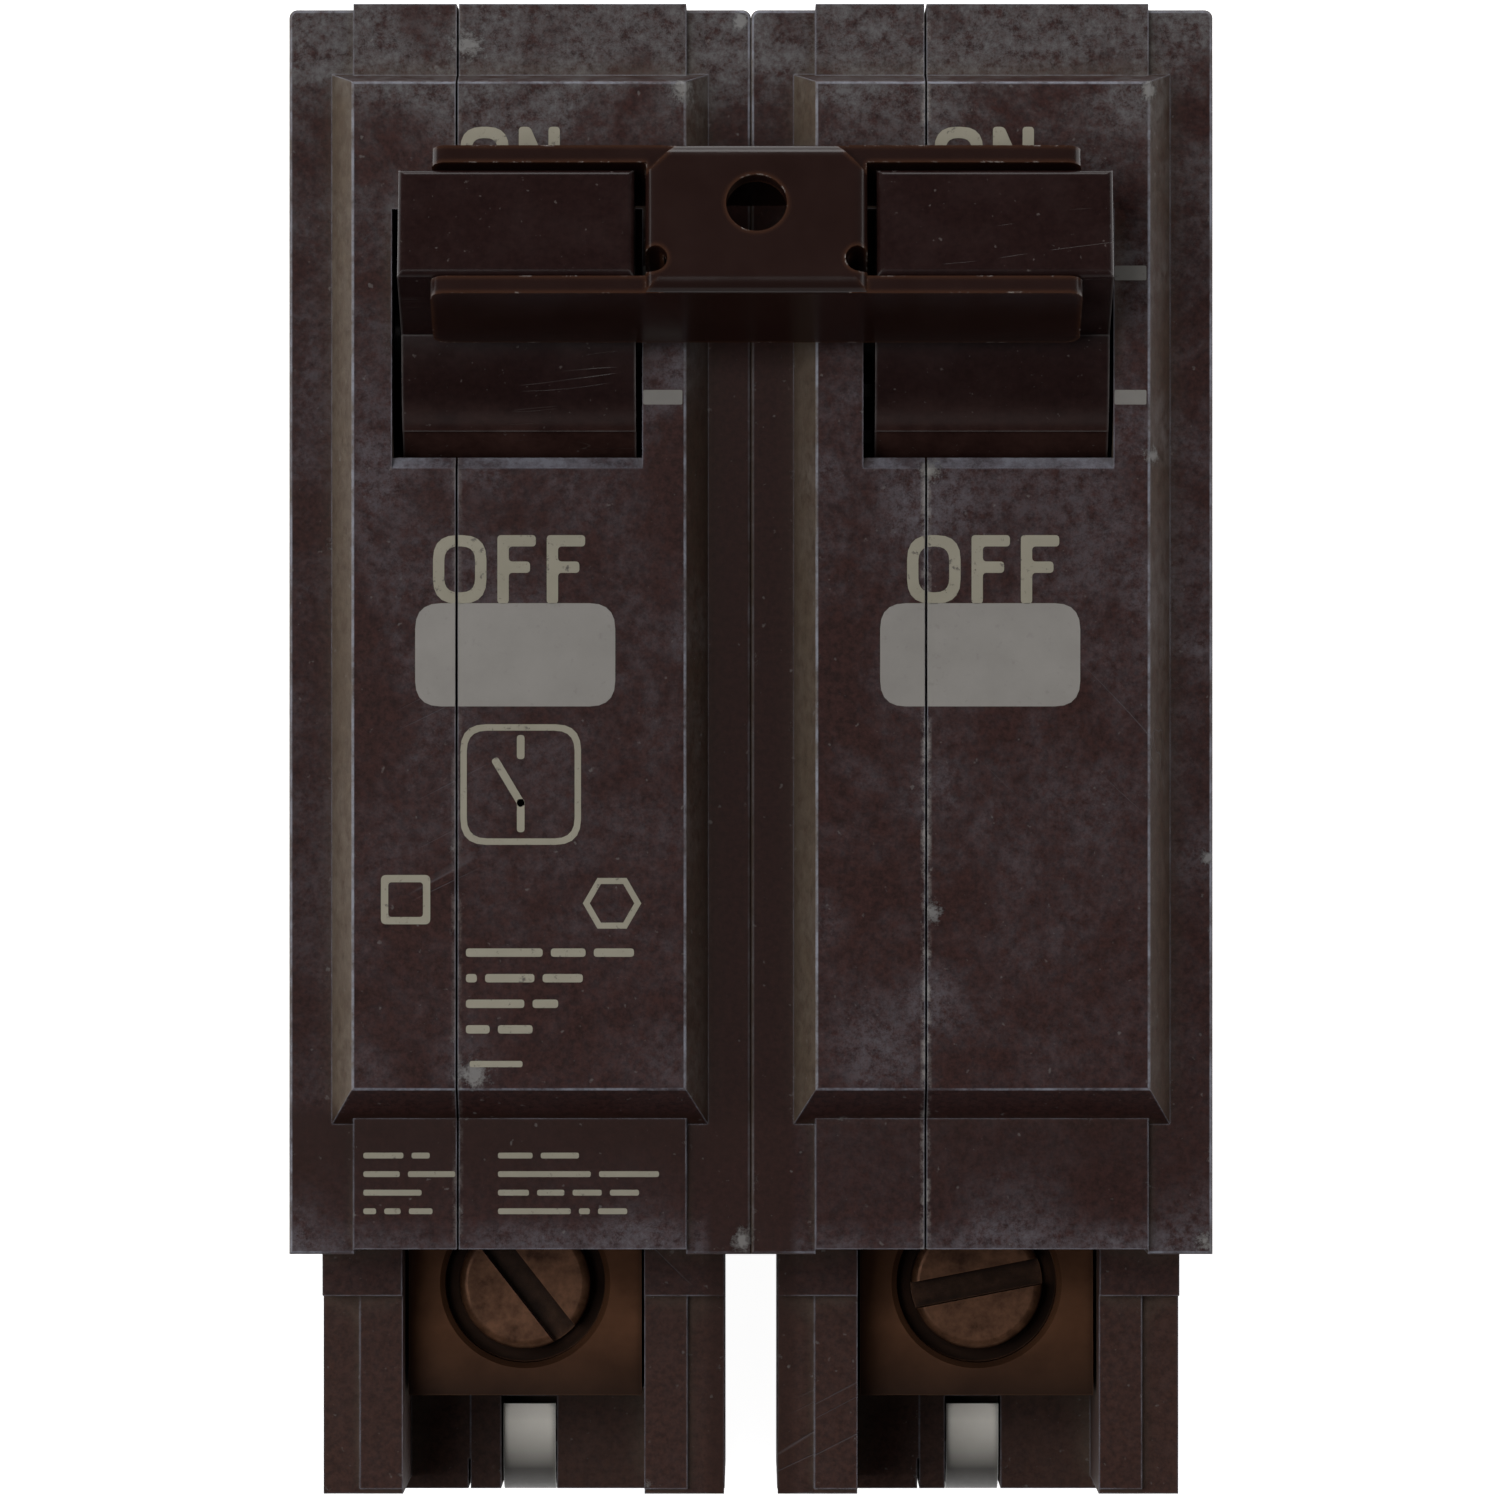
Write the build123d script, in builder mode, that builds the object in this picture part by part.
from build123d import *
import os
from math import cos, radians, sin

# A two-pole, common-trip, plug-in circuit breaker, lying on its back with its handles on top.
# +X runs across the poles, +Y points to the line end, +Z to the front, where the handles are.
# The origin is the middle of the back, under the middle of the whole breaker. Sizes are in mm.

os.makedirs("parts", exist_ok=True)

# ---- Case: overall sizes -------------------------------------------------------------------
POLE_PITCH = 25.4  # one pole is one inch wide
POLE_CENTRES = {"a": -POLE_PITCH / 2, "b": POLE_PITCH / 2}
HALF_POLE = POLE_PITCH / 2
LINE_END = 41.3
LOAD_END = -41.3
FACE_END = -27.15  # the front face stops here and the terminal section begins
SHOULDER_Y = (-27.45, 41.0)
SEAM_OFFSET = {"a": -3.35, "b": -3.05}  # the case halves meet here, left of the pole's centre
SHOULDER_Z = 49.0
STRIP_Z = 49.5  # the middle strip stands a little above the shoulders
PLATEAU_Z = 52.0
STRIP_HALF = 9.15
PLATEAU_TOP = (-18.3, 36.9)
PLATEAU_FOOT = (-20.3, 37.45)
PLATEAU_FOOT_HALF = 10.35
WALL = 1.8
CAVITY_HALF = HALF_POLE - WALL
CAVITY_Y = (-22.0, 39.1)
CAVITY_Z = (3.0, 46.8)
SEAM_GAP = 0.12
SEAM_GAP_DEPTH = 1.0

# ---- Case: terminal section ----------------------------------------------------------------
TERMINAL_HALF = 11.2
WALL_TOP_Z = 39.5
WALL_STEP = 0.5
LIP = (3.0, 1.2)  # length along Y and height of the raised lip beside the front face
FOOT_END = -42.0  # below the lug's level the load end stands out a little
RECESS_HALF = 6.75
RECESS_Y = (-36.2, -24.0)
RECESS_FLOOR_Z = 21.3
PLATE_Z = 24.0
CLIP_SLOT_HALF = 1.6
CLIP_SLOT_START = -36.7
CLIP_FACE_Y = -41.9
RAIL_NOTCH = (-35.8, 4.5, 8.1)  # how far in it reaches, then its lower and upper face

# ---- Handles -------------------------------------------------------------------------------
PIVOT = (23.3, 44.5)
ON_TILT = 20.0
HANDLE_SHIFT = {"a": 0.0, "b": 0.5}  # each handle sits a little off its pole's centre
OPENING_SHIFT = {"a": -0.1, "b": 0.3}
OPENING_HALF = 6.85
OPENING_Y = (16.3, 29.9)
HANDLE_HALF = 6.4
DRUM_R = 8.5
DRUM_CROWN_ANGLE = 60.8  # either side of the finger
DRUM_STEP = 0.22
FINGER_END = 16.2
FINGER_HALF = 3.12
FINGER_ROOT_HALF = 3.3
TRUNNION_R = 2.4
TRUNNION_HALF = 11.4
FIT = 0.06  # radial play of a shaft in its bearing
ARM_PIN_DROP = 5.5  # from the handle's pivot down to the contact arm's

# ---- Handle tie ----------------------------------------------------------------------------
TIE_SHEET = 1.0
TIE_HALF = 17.6
TIE_OUTER = 4.32
TIE_SHIFT = (0.3, 0.12)  # across the poles, then up the breaker from the fingers' middle
TIE_WEB_TOP = 16.9
TIE_ARM_TOP = 16.3
TIE_LOWER_ARM_FOOT = 9.2
TIE_UPPER_ARM_FOOT = 10.2
TIE_WEB_HALF = 6.0
TIE_FLANGE_FOOT = 12.2
TIE_HOLE_R = 1.65
TIE_CORNER_CUT = 1.8

# ---- Mechanism -----------------------------------------------------------------------------
ARM_HALF = 1.3
ARM_WIDTH = 3.4
CONTACT_Z = 17.0
CONTACT_PLANE = 28.5  # the closed contacts meet here
CRADLE_X = (-5.0, -3.6)
CRADLE_PIVOT = (34.0, 33.0)
CRADLE_TAB = (11.0, 31.6)
CRADLE_PIN_R = 1.2
SPRING_X = -1.75
BIMETAL_Y = (-9.6, -8.6)
ARMATURE_Y = (-4.1, -2.9)
ARMATURE_PIVOT_Z = 41.0
ARMATURE_PIN_R = 1.1
TRIP_BAR = (1.5, 11.0)
TRIP_BAR_R = 1.5
TRIP_BAR_HALF = 24.2
BRAID_X = 2.5
BRAID_R = 1.2
STRAP_HALF = 3.5
STRAP_THICK = 1.2

# ---- Terminals and fasteners ---------------------------------------------------------------
LUG_HALF = 6.55
LUG_Y = (-36.0, -24.3)
LUG_TOP_Z = 35.2
SCREW_Y = -29.7
SCREW_HEAD_R = 3.7
SCREW_HEAD_Z = (33.65, 35.6)
SCREW_SHANK_R = 2.4
SCREW_SLOT = (1.5, 1.4)  # width and depth
LUG_RING_R = 4.5
LUG_RING_BEVEL = 0.3
WIRE_BORE_R = 3.4
WIRE_BORE_Z = 28.2
SCREW_SLOT_TURN = {"a": -52.0, "b": 11.0}
CAL_SCREW_Y = -19.0
CAL_SCREW_R = 1.5
RIVETS = ((36.4, 43.9), (36.4, 21.5), (12.0, 5.4), (-19.0, 43.9), (-13.0, 5.4))
RIVET_R = 1.6
RIVET_HEAD_R = 3.0
RIVET_HEAD = 0.8
RIVET_SEAT = 1.0


def block(x_range, y_range, z_range, mode=Mode.ADD):
    """A box between three pairs of limits, added to or cut from the part being built."""
    limits = (x_range, y_range, z_range)
    middle = tuple((low + high) / 2 for low, high in limits)
    with Locations(middle):
        Box(*(high - low for low, high in limits), mode=mode)


def x_cylinder(x_range, place, radius, mode=Mode.ADD):
    """A cylinder along X between two limits, at a (Y, Z) place."""
    low, high = x_range
    with Locations(Location(((low + high) / 2, *place), (0, 90, 0))):
        Cylinder(radius, high - low, mode=mode)


def y_cylinder(y_range, x, z, radius, mode=Mode.ADD):
    """A cylinder along Y between two limits."""
    low, high = y_range
    with Locations(Location((x, (low + high) / 2, z), (90, 0, 0))):
        Cylinder(radius, high - low, mode=mode)


def z_cylinder(z_range, x, y, radius, mode=Mode.ADD):
    """A cylinder along Z between two limits."""
    low, high = z_range
    with Locations((x, y, (low + high) / 2)):
        Cylinder(radius, high - low, mode=mode)


def around(centre, half):
    """The X limits of something that is as wide on both sides of a centre."""
    return (centre - half, centre + half)


def finger_plane(centre):
    """Across a finger: its normal runs up the finger from the pivot, its x is X, its y faces the line end."""
    tilt = radians(ON_TILT)
    return Plane(origin=(centre, *PIVOT), x_dir=(1, 0, 0), z_dir=(0, sin(tilt), cos(tilt)))


def finger_side_plane(x):
    """A finger's profile plane at one X: its x faces the line end and its y runs up the finger."""
    tilt = radians(ON_TILT)
    return Plane(origin=(x, *PIVOT), x_dir=(0, cos(tilt), -sin(tilt)), z_dir=(1, 0, 0))


def arm_pivot():
    """The (Y, Z) place where a contact arm hangs in its handle, with the breaker on."""
    tilt = radians(ON_TILT)
    return (PIVOT[0] - ARM_PIN_DROP * sin(tilt), PIVOT[1] - ARM_PIN_DROP * cos(tilt))


def pole_outside(centre):
    """The outside of one pole: a block, its raised strip and plateau, and the narrower terminal section."""
    with BuildPart() as outside:
        strip_x = around(centre, STRIP_HALF)
        block(around(centre, HALF_POLE), SHOULDER_Y, (0, SHOULDER_Z))
        upright = outside.edges().filter_by(Axis.Z).group_by(Axis.Y)[-1]
        fillet(upright, 0.45)
        fillet(outside.faces().sort_by(Axis.Z)[-1].edges(), 0.2)
        # The strip stands out at the line end and is set back at the load end
        block(strip_x, (SHOULDER_Y[0] - 1, FACE_END), (WALL_TOP_Z, 60), mode=Mode.SUBTRACT)
        block(strip_x, (FACE_END, SHOULDER_Y[1]), (SHOULDER_Z - 1, STRIP_Z))
        block(strip_x, (SHOULDER_Y[1] - 1, LINE_END), (0, STRIP_Z))
        plateau_foot = Plane.XY.offset(SHOULDER_Z - 0.02)
        foot_middle = sum(PLATEAU_FOOT) / 2
        top_middle = sum(PLATEAU_TOP) / 2
        with BuildSketch(plateau_foot):
            with Locations((centre, foot_middle)):
                Rectangle(2 * PLATEAU_FOOT_HALF, PLATEAU_FOOT[1] - PLATEAU_FOOT[0])
        with BuildSketch(Plane.XY.offset(PLATEAU_Z)):
            with Locations((centre, top_middle)):
                Rectangle(2 * STRIP_HALF, PLATEAU_TOP[1] - PLATEAU_TOP[0])
        loft()
        fillet(outside.faces().sort_by(Axis.Z)[-1].edges(), 0.2)
        block(around(centre, TERMINAL_HALF), (LOAD_END, FACE_END), (0, WALL_TOP_Z - WALL_STEP))
        block(around(centre, TERMINAL_HALF), (FOOT_END, LOAD_END + 1), (0, PLATE_Z))
        inner_wall_end = LOAD_END + 0.3
        block(strip_x, (inner_wall_end, FACE_END), (WALL_TOP_Z - 1, WALL_TOP_Z))
        lip_y = (FACE_END - LIP[0], FACE_END)
        block(around(centre, TERMINAL_HALF), lip_y, (WALL_TOP_Z - 1, WALL_TOP_Z + LIP[1]))
    return outside.part


def pole_case(pole, centre):
    """One pole's case with its cavity, bosses, bearings and openings, before it is parted in two."""
    cavity_x = around(centre, CAVITY_HALF)
    opening_x = around(centre + OPENING_SHIFT[pole], OPENING_HALF)
    recess_x = around(centre, RECESS_HALF)
    with BuildPart() as case:
        add(pole_outside(centre))
        # The main cavity, and a pocket that lightens the foot below the terminal
        block(cavity_x, CAVITY_Y, CAVITY_Z, mode=Mode.SUBTRACT)
        block(around(centre, 8.8), (-34.2, -24.0), (2.5, 18.5), mode=Mode.SUBTRACT)
        # Bosses for the rivets, the handle's trunnions, the cradle pin and the calibration screw
        for place in RIVETS:
            x_cylinder(cavity_x, place, 3.2)
        for side in (-1, 1):
            bearing = sorted((centre + side * 6.95, centre + side * CAVITY_HALF))
            x_cylinder(bearing, PIVOT, 4.3)
        z_cylinder((CAVITY_Z[0] - 0.5, 10.0), centre, CAL_SCREW_Y, 3.0)
        # The handle's opening, with a bevelled lower edge and round room for the drum
        block(opening_x, OPENING_Y, (PIVOT[1], PLATEAU_Z + 1), mode=Mode.SUBTRACT)
        x_cylinder(opening_x, PIVOT, DRUM_R + 0.3, mode=Mode.SUBTRACT)
        with BuildSketch(Plane.YZ.offset(opening_x[0])):
            with BuildLine():
                edge = OPENING_Y[0]
                Polyline(
                    (edge - 0.6, PLATEAU_Z + 0.01),
                    (edge + 0.01, PLATEAU_Z + 0.01),
                    (edge + 0.01, PLATEAU_Z - 0.6),
                    close=True,
                )
            make_face()
        extrude(amount=2 * OPENING_HALF, mode=Mode.SUBTRACT)
        # The terminal's recess, open to the front and to the load end
        block(recess_x, RECESS_Y, (RECESS_FLOOR_Z, WALL_TOP_Z + 5), mode=Mode.SUBTRACT)
        block(recess_x, (LOAD_END - 1, RECESS_Y[0] + 0.1), (PLATE_Z, 60), mode=Mode.SUBTRACT)
        block(recess_x, (RECESS_Y[0], FACE_END), (WALL_TOP_Z, 60), mode=Mode.SUBTRACT)
        # The strap's way through the wall behind the recess
        strap_x = around(centre, STRAP_HALF + 0.1)
        strap_z = (RECESS_FLOOR_Z - 0.001, RECESS_FLOOR_Z + STRAP_THICK + 0.1)
        block(strap_x, (RECESS_Y[1] - 0.1, CAVITY_Y[0] + 0.1), strap_z, mode=Mode.SUBTRACT)
        # The rail clip's slot down the load end, and the notch that the panel's rail enters
        slot_x = around(centre, CLIP_SLOT_HALF)
        notch_end, notch_low, notch_high = RAIL_NOTCH
        block(slot_x, (LOAD_END - 1, CLIP_SLOT_START), (18.0, PLATE_Z + 1), mode=Mode.SUBTRACT)
        block(slot_x, (LOAD_END - 1, -39.7), (notch_low, 18.1), mode=Mode.SUBTRACT)
        rail_x = around(centre, TERMINAL_HALF + 1)
        block(rail_x, (LOAD_END - 1, notch_end), (notch_low, notch_high), mode=Mode.SUBTRACT)
        # The slot for the bus stab, in the back and up the line end
        stab_x = around(centre, 1.6)
        block(stab_x, (27.5, LINE_END + 1), (-1, CAVITY_Z[0] + 0.1), mode=Mode.SUBTRACT)
        block(stab_x, (CAVITY_Y[1] - 0.1, LINE_END + 1), (-1, 12.0), mode=Mode.SUBTRACT)
        # Bearings and bores
        trunnion_x = around(centre + HANDLE_SHIFT[pole], TRUNNION_HALF + 0.15)
        x_cylinder(trunnion_x, PIVOT, TRUNNION_R + FIT, mode=Mode.SUBTRACT)
        x_cylinder(around(centre, 11.5), CRADLE_PIVOT, CRADLE_PIN_R + FIT, mode=Mode.SUBTRACT)
        armature_place = (sum(ARMATURE_Y) / 2, ARMATURE_PIVOT_Z)
        x_cylinder(around(centre, 11.5), armature_place, ARMATURE_PIN_R + FIT, mode=Mode.SUBTRACT)
        trip_x = (-TRIP_BAR_HALF - 0.15, TRIP_BAR_HALF + 0.15)
        x_cylinder(trip_x, TRIP_BAR, TRIP_BAR_R + FIT, mode=Mode.SUBTRACT)
        z_cylinder((-1, 11), centre, CAL_SCREW_Y, CAL_SCREW_R + FIT, mode=Mode.SUBTRACT)
        z_cylinder((-1, 0.9), centre, CAL_SCREW_Y, 2.4, mode=Mode.SUBTRACT)
        for place in RIVETS:
            x_cylinder((-HALF_POLE * 2 - 1, HALF_POLE * 2 + 1), place, RIVET_R + FIT, mode=Mode.SUBTRACT)
            for side in (-1, 1):
                seat = sorted((side * (POLE_PITCH - RIVET_SEAT), side * (POLE_PITCH + 1)))
                x_cylinder(seat, place, RIVET_HEAD_R + 0.3, mode=Mode.SUBTRACT)
    return case.part


def case_halves(pole, centre):
    """Parts a pole's case at its seam into a deep base and a shallower cover."""
    whole = pole_case(pole, centre)
    seam_place = centre + SEAM_OFFSET[pole]
    seam = Plane.YZ.offset(seam_place)
    with BuildPart() as case_base:
        add(whole)
        split(bisect_by=seam, keep=Keep.TOP)
    case_base.part.label = f"case_base_{pole}"
    export_step(case_base.part, f"parts/case_base_{pole}.step")
    with BuildPart() as case_cover:
        add(whole)
        split(bisect_by=seam, keep=Keep.BOTTOM)
        # A hairline gap shows where the halves meet on the front, the back and the ends
        seam_x = (seam_place - SEAM_GAP, seam_place + 1)
        long_y = (LOAD_END - 1, LINE_END + 1)
        block(seam_x, long_y, (STRIP_Z - SEAM_GAP_DEPTH, PLATEAU_Z + 1), mode=Mode.SUBTRACT)
        block(seam_x, long_y, (-1, SEAM_GAP_DEPTH), mode=Mode.SUBTRACT)
        block(seam_x, (LINE_END - SEAM_GAP_DEPTH, LINE_END + 1), (-1, 60), mode=Mode.SUBTRACT)
        block(seam_x, (LOAD_END - 1, LOAD_END + SEAM_GAP_DEPTH), (-1, 60), mode=Mode.SUBTRACT)
    case_cover.part.label = f"case_cover_{pole}"
    export_step(case_cover.part, f"parts/case_cover_{pole}.step")


def handle(pole, centre):
    """A handle: a finger on a drum with two trunnions, and a slot below for the contact arm."""
    middle = centre + HANDLE_SHIFT[pole]
    side = finger_side_plane(middle - HANDLE_HALF)
    with BuildPart() as lever:
        with BuildSketch(side):
            with BuildLine():
                Polyline(
                    (-FINGER_ROOT_HALF, 0),
                    (-FINGER_HALF, FINGER_END),
                    (FINGER_HALF, FINGER_END),
                    (FINGER_ROOT_HALF, 0),
                    close=True,
                )
            make_face()
        extrude(amount=2 * HANDLE_HALF)
        tip = lever.faces().sort_by(Axis.Z)[-1]
        fillet(tip.edges(), 0.4)
        # The drum: its crown stands a little above its flanks, and it is cut flat below
        with BuildSketch(side):
            Circle(DRUM_R)
            with BuildLine():
                reach = 2 * DRUM_R
                flank = radians(DRUM_CROWN_ANGLE)
                crown_edge = (reach * sin(flank), reach * cos(flank))
                Polyline((0, 0), crown_edge, (0, 2 * reach), (-crown_edge[0], crown_edge[1]), close=True)
            make_face(mode=Mode.INTERSECT)
            Circle(DRUM_R - DRUM_STEP)
            with Locations((0, -DRUM_R - 7.4)):
                Rectangle(3 * DRUM_R, 2 * DRUM_R, mode=Mode.SUBTRACT)
        extrude(amount=2 * HANDLE_HALF)
        # The slot for the arm's head, and the bearing for its ears
        with BuildSketch(finger_side_plane(centre - ARM_HALF - 0.3)):
            with Locations((0, -2.6 - DRUM_R / 2)):
                Rectangle(3 * DRUM_R, DRUM_R)
        extrude(amount=2 * (ARM_HALF + 0.3), mode=Mode.SUBTRACT)
        x_cylinder(around(centre, 3.75), arm_pivot(), 1.3 + FIT, mode=Mode.SUBTRACT)
        x_cylinder(around(middle, TRUNNION_HALF), PIVOT, TRUNNION_R)
    lever.part.label = f"handle_{pole}"
    export_step(lever.part, f"parts/handle_{pole}.step")


def handle_tie():
    """The tie: one bent sheet, with two arms along both fingers and a web between them."""
    across = finger_plane(TIE_SHIFT[0])
    across.origin += across.y_dir * TIE_SHIFT[1]
    inner_half = TIE_WEB_HALF - TIE_SHEET
    inner_v = TIE_OUTER - TIE_SHEET
    with BuildPart() as tie:
        # A rounded cap, hollowed into the web and the walls that bend down from it
        with BuildSketch(across.offset(TIE_LOWER_ARM_FOOT)):
            Rectangle(2 * TIE_WEB_HALF, 2 * TIE_OUTER)
        extrude(amount=TIE_WEB_TOP - TIE_LOWER_ARM_FOOT)
        crown = tie.faces().sort_by(Axis(across.origin, across.z_dir))[-1]
        fillet(crown.edges(), 0.85)
        with BuildSketch(across.offset(TIE_LOWER_ARM_FOOT - 1)):
            Rectangle(2 * inner_half, 2 * inner_v)
        extrude(amount=TIE_WEB_TOP - TIE_SHEET - TIE_LOWER_ARM_FOOT + 1, mode=Mode.SUBTRACT)
        # The side walls stop above the fingers' roots, and the upper wall above the plateau
        with BuildSketch(across.offset(TIE_LOWER_ARM_FOOT - 1)):
            Rectangle(3 * TIE_WEB_HALF, 2 * inner_v)
        extrude(amount=TIE_FLANGE_FOOT - TIE_LOWER_ARM_FOOT + 1, mode=Mode.SUBTRACT)
        with BuildSketch(across.offset(TIE_LOWER_ARM_FOOT - 1)):
            with Locations((0, TIE_OUTER)):
                Rectangle(3 * TIE_WEB_HALF, 4 * TIE_SHEET)
        extrude(amount=TIE_UPPER_ARM_FOOT - TIE_LOWER_ARM_FOOT + 1, mode=Mode.SUBTRACT)
        # The arms, below and above the fingers, with rounded ends
        for side, foot in ((-1, TIE_LOWER_ARM_FOOT), (1, TIE_UPPER_ARM_FOOT)):
            arm_v = side * (TIE_OUTER - TIE_SHEET / 2)
            for end in (-1, 1):
                with BuildSketch(across.offset(foot)):
                    with Locations((end * (inner_half + TIE_HALF) / 2, arm_v)):
                        Rectangle(TIE_HALF - inner_half, TIE_SHEET)
                extrude(amount=TIE_ARM_TOP - foot)
        tips = tie.edges().filter_by(Axis(across.origin, across.y_dir))
        fillet(tips.sort_by(Axis.X)[:4] + tips.sort_by(Axis.X)[-4:], 0.8)
        # Round reliefs where the lower bend and the side walls meet
        with BuildSketch(across.offset(TIE_FLANGE_FOOT - 1)):
            for side in (-1, 1):
                with Locations((side * (TIE_WEB_HALF - 0.45), -inner_v + 0.8)):
                    Circle(0.75)
        extrude(amount=TIE_WEB_TOP, mode=Mode.SUBTRACT)
        with BuildSketch(across.offset(TIE_ARM_TOP - 2 * TIE_SHEET)):
            with Locations((0, 0.7)):
                Circle(TIE_HOLE_R)
        extrude(amount=4 * TIE_SHEET, mode=Mode.SUBTRACT)
        # The upper corners are cut off at a slant
        corner_cut = TIE_CORNER_CUT * 2 ** 0.5
        with BuildSketch(across.offset(TIE_ARM_TOP)):
            for side in (-1, 1):
                with Locations((side * TIE_WEB_HALF, TIE_OUTER)):
                    Rectangle(corner_cut, corner_cut, rotation=45)
        extrude(amount=2 * TIE_SHEET, mode=Mode.SUBTRACT)
    tie.part.label = "handle_tie"
    export_step(tie.part, "parts/handle_tie.step")


def contact_arm(pole, centre):
    """The contact arm: a flat bar whose ears turn in the handle, and its welded moving contact."""
    top = arm_pivot()
    arm_x = centre - ARM_HALF
    with BuildPart() as arm:
        with BuildSketch(Plane.YZ.offset(arm_x)):
            with BuildLine():
                FilletPolyline(top, (23.1, 31.0), (25.6, 25.0), (25.6, 14.5), radius=4)
            trace(line_width=ARM_WIDTH)
            with Locations(top):
                Circle(2.0)
        extrude(amount=2 * ARM_HALF)
        x_cylinder(around(centre, 3.6), top, 1.3)
        # The post that the operating spring hooks on
        x_cylinder((centre - 2.6, centre), (24.9, 19.6), 0.5)
    arm.part.label = f"contact_arm_{pole}"
    export_step(arm.part, f"parts/contact_arm_{pole}.step")
    with BuildPart() as moving_contact:
        y_cylinder((27.3, CONTACT_PLANE), centre, CONTACT_Z, 2.0)
        chamfer(moving_contact.edges().sort_by(Axis.Y)[-1], 0.25)
    moving_contact.part.label = f"moving_contact_{pole}"
    export_step(moving_contact.part, f"parts/moving_contact_{pole}.step")


def line_parts(pole, centre):
    """The line side: the fixed contact, its terminal bar, and the jaw that grips the bus stab."""
    bar_y = 30.5
    bar_half_thick = 0.6
    with BuildPart() as fixed_contact:
        y_cylinder((CONTACT_PLANE, bar_y - bar_half_thick), centre, CONTACT_Z, 2.2)
        chamfer(fixed_contact.edges().sort_by(Axis.Y)[0], 0.25)
    fixed_contact.part.label = f"fixed_contact_{pole}"
    export_step(fixed_contact.part, f"parts/fixed_contact_{pole}.step")
    with BuildPart() as line_terminal:
        with BuildSketch(Plane.YZ.offset(centre - 4)):
            with BuildLine():
                FilletPolyline((bar_y, 20.6), (bar_y, 15.2), (CAVITY_Y[1], 15.2), radius=1.2)
            trace(line_width=2 * bar_half_thick)
        extrude(amount=8)
    line_terminal.part.label = f"line_terminal_{pole}"
    export_step(line_terminal.part, f"parts/line_terminal_{pole}.step")
    # The jaw's section, seen along Y: two leaves that close to a throat and flare at the mouth
    with BuildPart() as line_jaw:
        with BuildSketch(Plane.XZ.offset(-37.6)):
            with BuildLine():
                FilletPolyline(
                    (centre - 2.7, 3.6),
                    (centre - 1.3, 6.0),
                    (centre - 2.75, 11.0),
                    (centre - 2.75, 13.6),
                    (centre + 2.75, 13.6),
                    (centre + 2.75, 11.0),
                    (centre + 1.3, 6.0),
                    (centre + 2.7, 3.6),
                    radius=0.6,
                )
            trace(line_width=0.8)
        extrude(amount=8.6)
    line_jaw.part.label = f"line_jaw_{pole}"
    export_step(line_jaw.part, f"parts/line_jaw_{pole}.step")
    with BuildPart() as jaw_spring:
        with BuildSketch(Plane.XZ.offset(-35.4)):
            with BuildLine():
                FilletPolyline(
                    (centre - 2.42, 7.2),
                    (centre - 3.5, 10.9),
                    (centre - 3.5, 14.3),
                    (centre + 3.5, 14.3),
                    (centre + 3.5, 10.9),
                    (centre + 2.42, 7.2),
                    radius=0.35,
                )
            trace(line_width=0.6)
        extrude(amount=4.2)
    jaw_spring.part.label = f"jaw_spring_{pole}"
    export_step(jaw_spring.part, f"parts/jaw_spring_{pole}.step")


def arc_chute(pole, centre):
    """The arc chute: steel plates with notched tops between two fibre sides."""
    with BuildPart() as arc_plates:
        for plate_y in (18.2, 20.9, 23.6, 26.3):
            block(around(centre, 7.0), (plate_y, plate_y + 0.8), (3.4, 11.6))
            block(around(centre, 1.9), (plate_y, plate_y + 0.8), (8.0, 11.6), mode=Mode.SUBTRACT)
    arc_plates.part.label = f"arc_plates_{pole}"
    export_step(arc_plates.part, f"parts/arc_plates_{pole}.step")
    with BuildPart() as chute_sides:
        for side in (-1, 1):
            side_x = sorted((centre + side * 7.0, centre + side * 7.9))
            block(side_x, (17.2, 28.2), (CAVITY_Z[0], 12.4))
    chute_sides.part.label = f"arc_chute_sides_{pole}"
    export_step(chute_sides.part, f"parts/arc_chute_sides_{pole}.step")


def cradle(pole, centre):
    """The cradle: a latched lever on a fixed pin, which pulls the spring over when it is let go."""
    lever_x = (centre + CRADLE_X[0], centre + CRADLE_X[1])
    with BuildPart() as lever:
        with BuildSketch(Plane.YZ.offset(lever_x[0])):
            with BuildLine():
                FilletPolyline(CRADLE_PIVOT, (21.0, 31.6), (8.0, 32.4), (-2.4, 29.0), radius=9)
            trace(line_width=3.0)
            with Locations(CRADLE_PIVOT):
                Circle(2.6)
                Circle(CRADLE_PIN_R + FIT, mode=Mode.SUBTRACT)
        extrude(amount=lever_x[1] - lever_x[0])
        x_cylinder((lever_x[1] - 0.2, centre - 0.9), CRADLE_TAB, 0.6)
    lever.part.label = f"cradle_{pole}"
    export_step(lever.part, f"parts/cradle_{pole}.step")
    with BuildPart() as cradle_pin:
        x_cylinder(around(centre, 11.35), CRADLE_PIVOT, CRADLE_PIN_R)
    cradle_pin.part.label = f"cradle_pin_{pole}"
    export_step(cradle_pin.part, f"parts/cradle_pin_{pole}.step")


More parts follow.
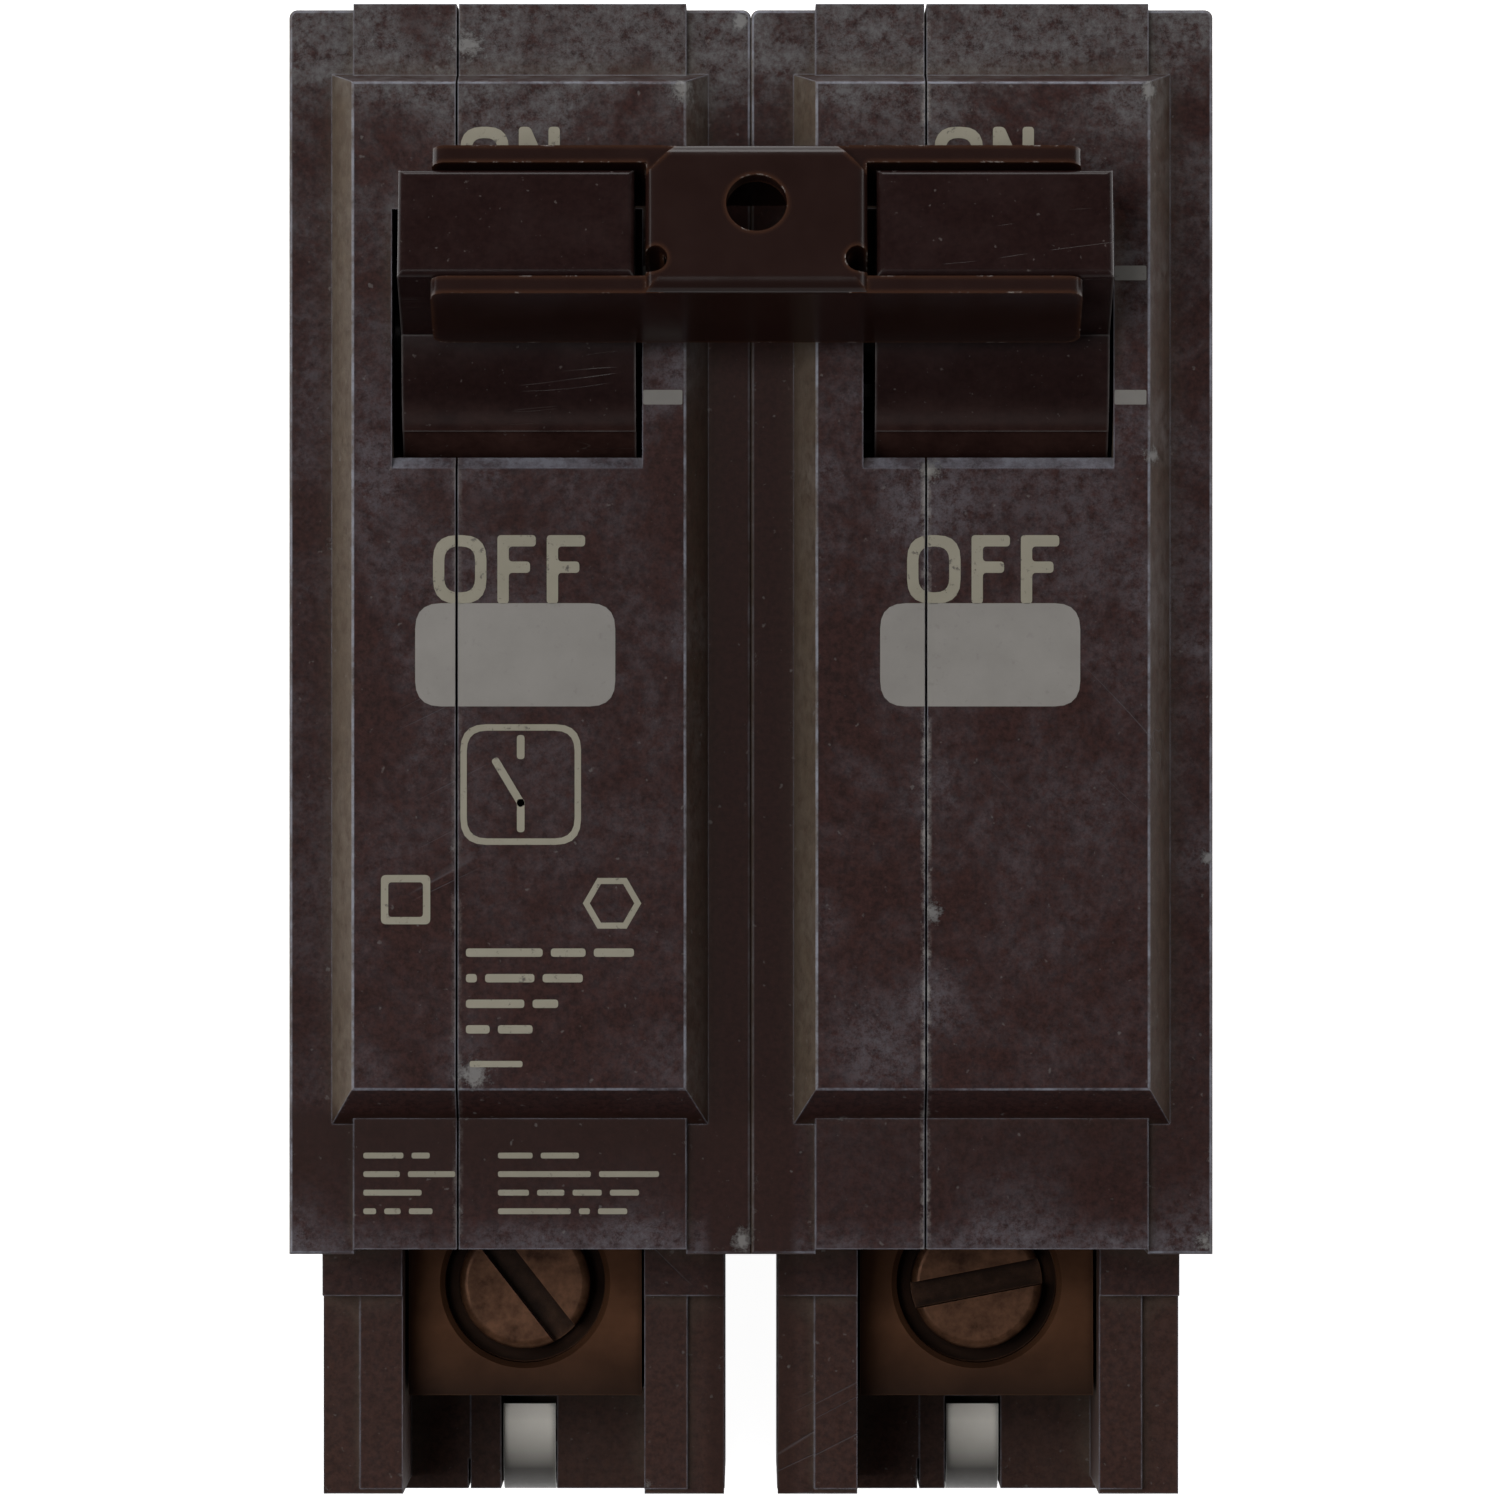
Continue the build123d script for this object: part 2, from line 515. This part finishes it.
def operating_spring(pole, centre):
    """The tension spring from the contact arm's post to the cradle's tab."""
    x = centre + SPRING_X
    start = Vector(x, 24.9, 19.6)
    finish = Vector(x, *CRADLE_TAB)
    along = (finish - start).normalized()
    length = (finish - start).length
    eye_r = 1.0
    coil_r = 1.35
    wire_r = 0.3
    lead = 2 * eye_r + 1.1
    with BuildPart() as spring:
        with BuildLine(mode=Mode.PRIVATE) as coil:
            base = start + along * lead
            Helix(0.95, length - 2 * lead, coil_r, center=base, direction=along)
        with BuildSketch(Plane(coil.line @ 0, z_dir=coil.line % 0)):
            Circle(wire_r)
        sweep(path=coil.line)
        for place, outward, wire_end in ((start, along, coil.line @ 0), (finish, -along, coil.line @ 1)):
            # A round eye about the post, and a leg from it to the end of the coil
            eye_plane = Plane(place, x_dir=outward, z_dir=(1, 0, 0))
            with BuildLine(mode=Mode.PRIVATE) as leg:
                neck = place + outward * eye_r
                Line(neck, neck + outward * 1.0)
                Line(neck + outward * 1.0, wire_end)
            with BuildSketch(Plane(neck, z_dir=outward)):
                Circle(wire_r - 0.05)
            sweep(path=leg.line, transition=Transition.ROUND)
            add(Solid.make_torus(eye_r, wire_r, eye_plane))
    spring.part.label = f"operating_spring_{pole}"
    export_step(spring.part, f"parts/operating_spring_{pole}.step")


def thermal_magnetic_trip(pole, centre):
    """The trip unit: a bimetal strip inside a magnet yoke, and a hinged armature that holds the latch."""
    with BuildPart() as bimetal:
        block(around(centre, 4.5), BIMETAL_Y, (9.4, 38.1))
    bimetal.part.label = f"bimetal_{pole}"
    export_step(bimetal.part, f"parts/bimetal_{pole}.step")
    with BuildPart() as magnet_yoke:
        block(around(centre, 6.3), (BIMETAL_Y[0] - 1.5, -6.8), (14.0, 26.0))
        block(around(centre, 4.8), (BIMETAL_Y[0], -6.0), (13.0, 27.0), mode=Mode.SUBTRACT)
    magnet_yoke.part.label = f"magnet_yoke_{pole}"
    export_step(magnet_yoke.part, f"parts/magnet_yoke_{pole}.step")
    hinge = (sum(ARMATURE_Y) / 2, ARMATURE_PIVOT_Z)
    with BuildPart() as armature:
        block(around(centre, 5.2), ARMATURE_Y, (14.6, ARMATURE_PIVOT_Z))
        x_cylinder(around(centre, 11.35), hinge, ARMATURE_PIN_R)
        # A window below the latch edge
        block(around(centre - 4.1, 0.9), (-5, -2), (22.0, 26.5), mode=Mode.SUBTRACT)
    armature.part.label = f"armature_{pole}"
    export_step(armature.part, f"parts/armature_{pole}.step")
    with BuildPart() as armature_spring:
        with BuildLine(mode=Mode.PRIVATE) as coil:
            seat = BIMETAL_Y[1] + 0.25
            Helix(1.0, ARMATURE_Y[0] - 0.25 - seat, 1.3, center=(centre, seat, 30.0), direction=(0, 1, 0))
        with BuildSketch(Plane(coil.line @ 0, z_dir=coil.line % 0)):
            Circle(0.22)
        sweep(path=coil.line)
    armature_spring.part.label = f"armature_spring_{pole}"
    export_step(armature_spring.part, f"parts/armature_spring_{pole}.step")


def conductors(pole, centre):
    """The strap from the bimetal to the lug, and the braid from the bimetal to the contact arm."""
    strap_mid_z = RECESS_FLOOR_Z + STRAP_THICK / 2
    weld_y = BIMETAL_Y[0] - STRAP_THICK / 2
    with BuildPart() as load_strap:
        with BuildSketch(Plane.YZ.offset(centre - STRAP_HALF)):
            with BuildLine():
                FilletPolyline(
                    (weld_y, 32.5),
                    (weld_y, 37.5),
                    (-16.0, 37.5),
                    (-16.0, strap_mid_z),
                    (LUG_Y[0] + 0.3, strap_mid_z),
                    radius=1.4,
                )
            trace(line_width=STRAP_THICK)
        extrude(amount=2 * STRAP_HALF)
    load_strap.part.label = f"load_strap_{pole}"
    export_step(load_strap.part, f"parts/load_strap_{pole}.step")
    braid_x = centre + BRAID_X
    braid_foot_y = BIMETAL_Y[1] + BRAID_R
    with BuildPart() as braid:
        with BuildLine(mode=Mode.PRIVATE) as route:
            FilletPolyline(
                (braid_x, braid_foot_y, 13.2),
                (braid_x, braid_foot_y, 6.8),
                (braid_x, 4.0, 6.8),
                (braid_x, 15.6, 13.6),
                (braid_x, 19.6, 22.5),
                (braid_x, 22.5, 30.5),
                radius=3.0,
            )
        with BuildSketch(Plane(route.line @ 0, z_dir=route.line % 0)):
            Circle(BRAID_R)
        sweep(path=route.line)
    braid.part.label = f"braid_{pole}"
    export_step(braid.part, f"parts/braid_{pole}.step")


def load_terminal(pole, centre):
    """The load terminal: a box lug with a wire bore, and the slotted screw that clamps the wire."""
    with BuildPart() as lug:
        block(around(centre, LUG_HALF), LUG_Y, (RECESS_FLOOR_Z + STRAP_THICK, LUG_TOP_Z))
        y_cylinder((LUG_Y[0] - 1, LUG_Y[1] - 1.6), centre, WIRE_BORE_Z, WIRE_BORE_R, mode=Mode.SUBTRACT)
        z_cylinder((WIRE_BORE_Z, 40), centre, SCREW_Y, SCREW_SHANK_R + FIT, mode=Mode.SUBTRACT)
        ring_z = (SCREW_HEAD_Z[0] - 0.05, 40)
        z_cylinder(ring_z, centre, SCREW_Y, LUG_RING_R, mode=Mode.SUBTRACT)
        ring_edge = lug.edges().filter_by(GeomType.CIRCLE).sort_by(Axis.Z)[-1]
        chamfer(ring_edge, LUG_RING_BEVEL)
    lug.part.label = f"lug_{pole}"
    export_step(lug.part, f"parts/lug_{pole}.step")
    with BuildPart() as screw:
        z_cylinder(SCREW_HEAD_Z, centre, SCREW_Y, SCREW_HEAD_R)
        fillet(screw.edges().sort_by(Axis.Z)[-1], 0.5)
        shank_z = (WIRE_BORE_Z + WIRE_BORE_R + 0.1, SCREW_HEAD_Z[0])
        z_cylinder(shank_z, centre, SCREW_Y, SCREW_SHANK_R)
        chamfer(screw.edges().sort_by(Axis.Z)[0], 0.4)
        with Locations(Location((centre, SCREW_Y, SCREW_HEAD_Z[1]), (0, 0, SCREW_SLOT_TURN[pole]))):
            Box(12, SCREW_SLOT[0], 2 * SCREW_SLOT[1], mode=Mode.SUBTRACT)
    screw.part.label = f"terminal_screw_{pole}"
    export_step(screw.part, f"parts/terminal_screw_{pole}.step")


def back_hardware(pole, centre):
    """What the back holds: the sprung clip for the panel's rail, and the calibration screw."""
    with BuildPart() as rail_clip:
        with BuildSketch(Plane.YZ.offset(centre - CLIP_SLOT_HALF + 0.1)):
            with BuildLine():
                FilletPolyline(
                    (-37.2, 22.7),
                    (CLIP_FACE_Y, 22.7),
                    (CLIP_FACE_Y, 7.9),
                    (CLIP_FACE_Y + 4.3, 6.5),
                    radius=(3.4, 0.9),
                )
            trace(line_width=0.8)
        extrude(amount=2 * CLIP_SLOT_HALF - 0.2)
    rail_clip.part.label = f"rail_clip_{pole}"
    export_step(rail_clip.part, f"parts/rail_clip_{pole}.step")
    with BuildPart() as calibration_screw:
        z_cylinder((1.2, RECESS_FLOOR_Z), centre, CAL_SCREW_Y, CAL_SCREW_R)
        chamfer(calibration_screw.edges().sort_by(Axis.Z)[-1], 0.5)
        block(around(centre, 3), (CAL_SCREW_Y - 0.3, CAL_SCREW_Y + 0.3), (1.0, 2.2), mode=Mode.SUBTRACT)
    calibration_screw.part.label = f"calibration_screw_{pole}"
    export_step(calibration_screw.part, f"parts/calibration_screw_{pole}.step")


def trip_bar():
    """The bar that runs through both poles, with a finger for each armature."""
    with BuildPart() as bar:
        x_cylinder((-TRIP_BAR_HALF, TRIP_BAR_HALF), TRIP_BAR, TRIP_BAR_R)
        for centre in POLE_CENTRES.values():
            with BuildSketch(Plane.YZ.offset(centre - 2.6)):
                with BuildLine():
                    FilletPolyline(TRIP_BAR, (1.5, 16.4), (-2.6, 16.4), radius=1.5)
                trace(line_width=1.6)
            extrude(amount=2.0)
    bar.part.label = "trip_bar"
    export_step(bar.part, "parts/trip_bar.step")


def case_rivets():
    """The rivets that hold both poles together, each from side to side with a flat head at both ends."""
    seat_x = POLE_PITCH - RIVET_SEAT
    with BuildPart() as rivets:
        for place in RIVETS:
            x_cylinder((-seat_x, seat_x), place, RIVET_R)
            for side in (-1, 1):
                head_x = sorted((side * seat_x, side * (seat_x + RIVET_HEAD)))
                x_cylinder(head_x, place, RIVET_HEAD_R)
    rivets.part.label = "case_rivets"
    export_step(rivets.part, "parts/case_rivets.step")


for pole_name, pole_centre in POLE_CENTRES.items():
    case_halves(pole_name, pole_centre)
    handle(pole_name, pole_centre)
    contact_arm(pole_name, pole_centre)
    line_parts(pole_name, pole_centre)
    arc_chute(pole_name, pole_centre)
    cradle(pole_name, pole_centre)
    operating_spring(pole_name, pole_centre)
    thermal_magnetic_trip(pole_name, pole_centre)
    conductors(pole_name, pole_centre)
    load_terminal(pole_name, pole_centre)
    back_hardware(pole_name, pole_centre)
handle_tie()
trip_bar()
case_rivets()
